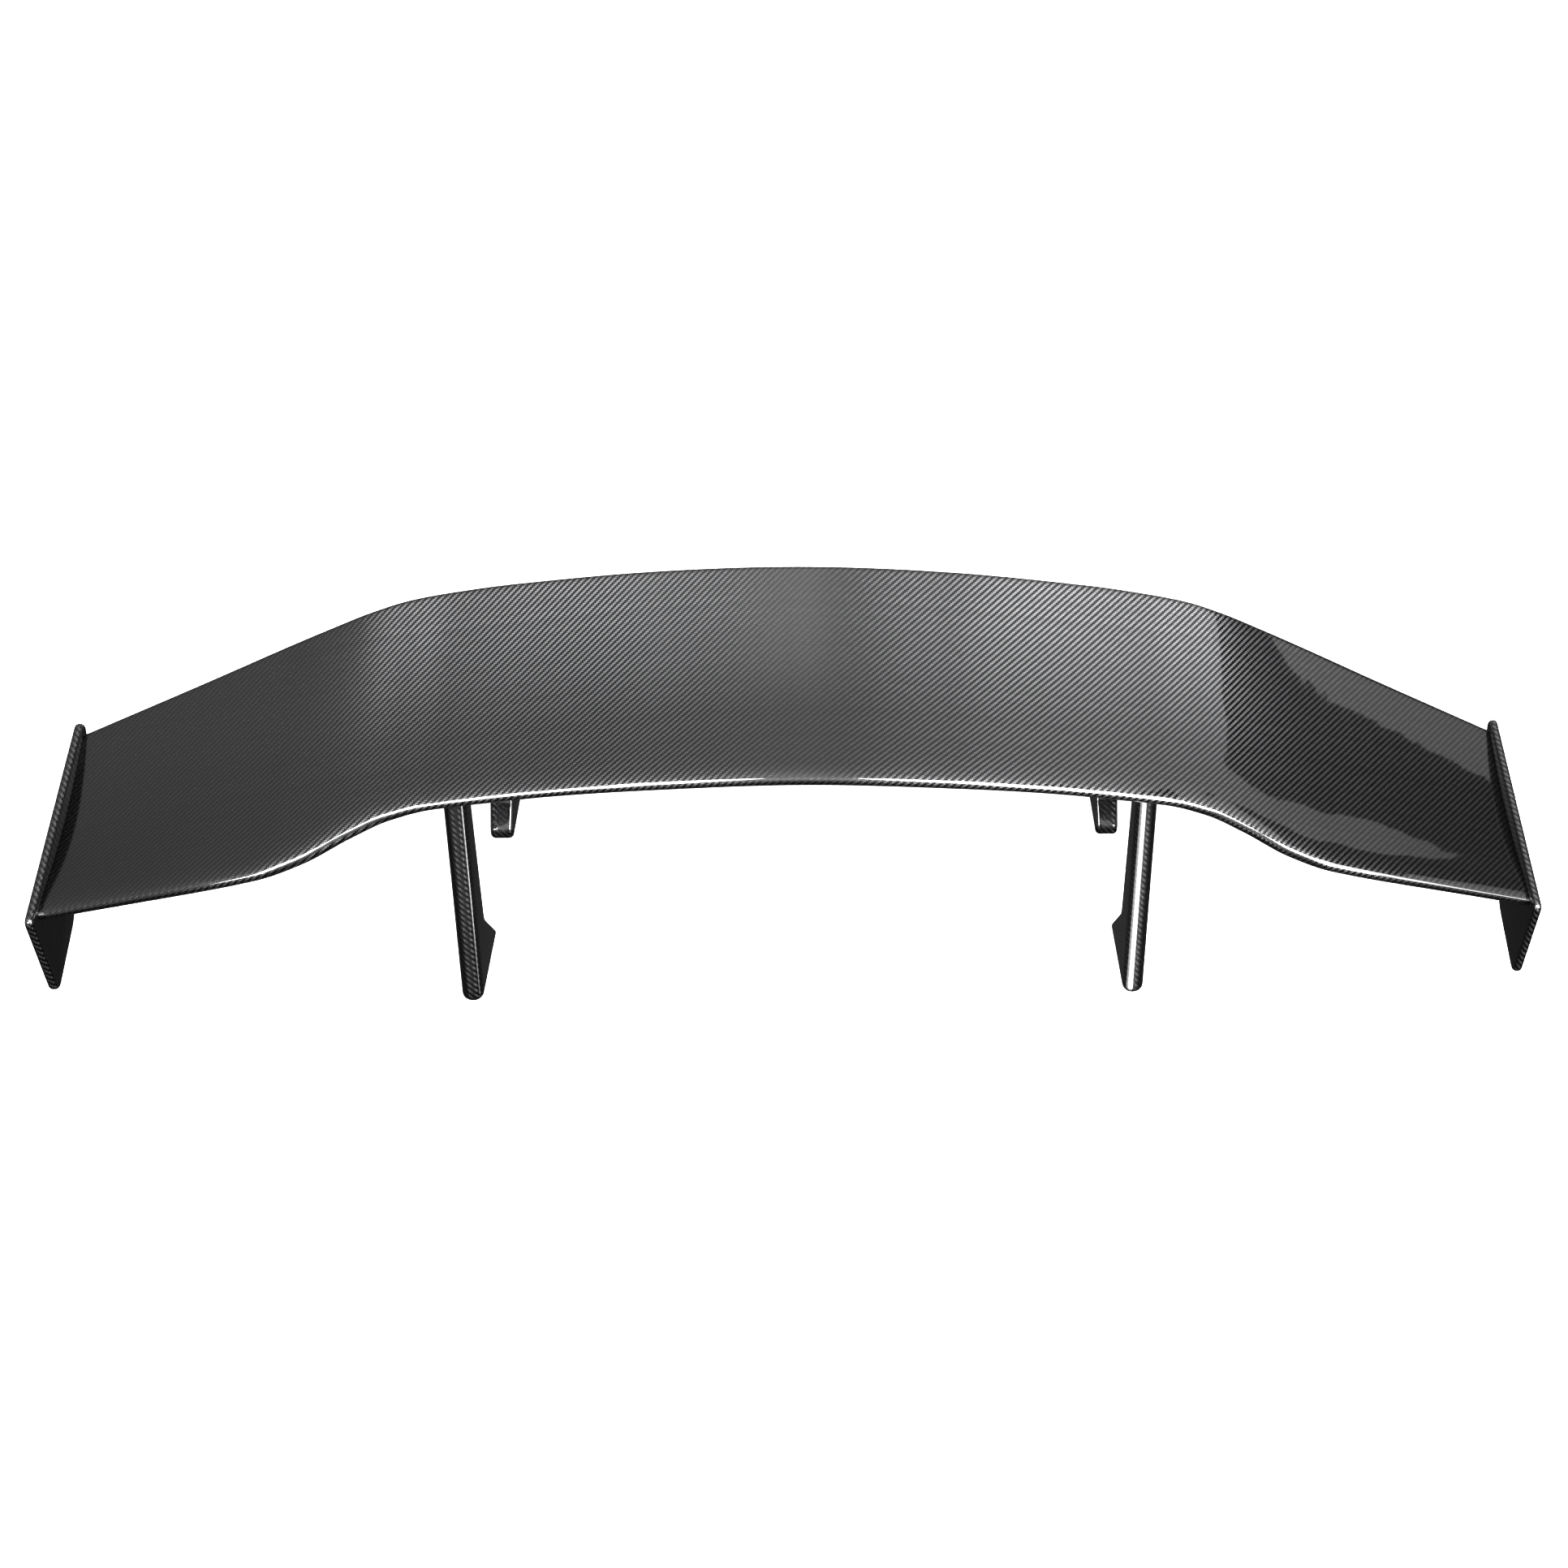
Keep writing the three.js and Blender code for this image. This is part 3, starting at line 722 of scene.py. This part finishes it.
def floor():
    """Pale floor seen from above only. It casts no shadow and doesn't show in reflections."""
    m, g, s = material("studio_floor")
    place = g.node("ShaderNodeTexCoord").outputs["Object"]
    tone = g.between(g.noise(place, 3.0, 2.0), 0.84, 0.88)
    g.feed(s["Base Color"], g.combine(tone, tone, tone))
    g.feed(s["Roughness"], 0.6)
    g.feed(s["Emission Color"], (1.0, 1.0, 1.0, 1.0))
    g.feed(s["Emission Strength"], FLOOR_GLOW)
    out = next(n for n in m.node_tree.nodes if n.type == "OUTPUT_MATERIAL")
    shown = out.inputs["Surface"].links[0].from_socket
    see_through = g.node("ShaderNodeBsdfTransparent").outputs[0]
    below = g.node("ShaderNodeNewGeometry").outputs["Backfacing"]
    mixed = g.node("ShaderNodeMixShader", {0: below, 1: shown, 2: see_through}).outputs[0]
    g.feed(out.inputs["Surface"], mixed)
    mesh = bpy.data.meshes.new("studio_floor")
    r = FLOOR_REACH
    mesh.from_pydata([(-r, -r, 0), (r, -r, 0), (r, r, 0), (-r, r, 0)], [], [(0, 1, 2, 3)])
    mesh.materials.append(m)
    obj = bpy.data.objects.new("studio_floor", mesh)
    obj.location.z = -FLOOR_DROP
    obj.visible_glossy = False
    obj.visible_diffuse = False
    obj.visible_shadow = False
    bpy.context.scene.collection.objects.link(obj)


floor()


# Smooth steps in the brightness of the room over the unit direction: start, end, and the level
# before and after, 0 and 1 if not given.
ROOM = {
    "overhead": (0.1, 0.8),                     # over z, horizon to ceiling
    "sideways": (0.75, 0.95, 1.0, 0.3),         # over |x|, dimmer at both sides
    "forward": (0.5, -0.3, 0.6, 1.0),           # over y, dimmer at the back
    "rightward": (-0.35, 0.4, 0.62, 1.15),      # over x, brighter at the right
    "patch_across": (0.27, 0.03),               # over the distance from PATCH_X
    "patch_ahead": (0.45, -0.15, 0.25, 1.0),    # over y
    "walls": (0.12, 0.4, 0.5, 0.0),             # over |z|, a glow at the horizon only
}
PATCH_X = -0.06
CEILING_LEVEL, PATCH_LEVEL, LEAST_LEVEL = 1.15, 1.1, 0.04
FLAG_LEVEL = 0.05       # what is left of the ceiling's light inside the flag
BACKDROP = 0.93


def flag(g, x, y, z):
    """1 inside a black flag hung to the right of the wing, in a ceiling one unit up."""
    across, back = g.math("DIVIDE", x, z), g.math("DIVIDE", y, z)
    near_edge = g.math("MULTIPLY_ADD", across, 0.83, -0.04)
    side_edge = g.math("MULTIPLY_ADD", g.math("MAXIMUM", back, 0.0), 0.25, 0.43)
    notch_edge = g.math("MULTIPLY_ADD", across, 1.2, -0.84)
    notch = g.product(g.math("GREATER_THAN", across, 0.8), g.math("LESS_THAN", back, notch_edge))
    return g.product(g.math("GREATER_THAN", across, side_edge),
                     g.math("LESS_THAN", back, near_edge), g.math("SUBTRACT", 1.0, notch))


def room_light(g, x, y, z):
    """Ceiling brighter toward the front and right, its bright middle, and dim walls."""
    overhead = g.eased(z, *ROOM["overhead"])
    ceiling = g.product(
        overhead, g.eased(g.math("ABSOLUTE", x), *ROOM["sideways"]),
        g.eased(y, *ROOM["forward"]), g.eased(x, *ROOM["rightward"]),
        g.between(flag(g, x, y, z), 1.0, FLAG_LEVEL))
    # the bright middle washes the stripes out at mid span
    off_middle = g.math("ABSOLUTE", g.math("ADD", x, -PATCH_X))
    patch = g.product(g.eased(off_middle, *ROOM["patch_across"]),
                      g.eased(y, *ROOM["patch_ahead"]), overhead)
    # the walls are mirrored mostly in views from behind, from the sides and from below
    walls = g.eased(g.math("ABSOLUTE", z), *ROOM["walls"])
    light = g.math("MULTIPLY_ADD", ceiling, CEILING_LEVEL, LEAST_LEVEL)
    light = g.math("ADD", light, g.product(patch, PATCH_LEVEL))
    return g.math("ADD", light, walls)


def surroundings():
    """The room lights and is mirrored by the wing; the camera sees a plain pale backdrop."""
    world = bpy.data.worlds.new("studio")
    world.use_nodes = True
    world.node_tree.nodes.clear()
    g = Graph(world.node_tree)
    way = g.node("ShaderNodeSeparateXYZ", {0: g.node("ShaderNodeTexCoord").outputs["Generated"]})
    light = room_light(g, *(way.outputs[k] for k in "XYZ"))
    room = g.node("ShaderNodeBackground", {"Color": g.combine(light, light, light)}).outputs[0]
    pale = (BACKDROP, BACKDROP, BACKDROP, 1.0)
    backdrop = g.node("ShaderNodeBackground", {"Color": pale}).outputs[0]
    seen = g.node("ShaderNodeLightPath").outputs["Is Camera Ray"]
    mixed = g.node("ShaderNodeMixShader", {0: seen, 1: room, 2: backdrop}).outputs[0]
    g.node("ShaderNodeOutputWorld", {"Surface": mixed})
    bpy.context.scene.world = world


surroundings()
bpy.context.scene.view_settings.view_transform = "Standard"
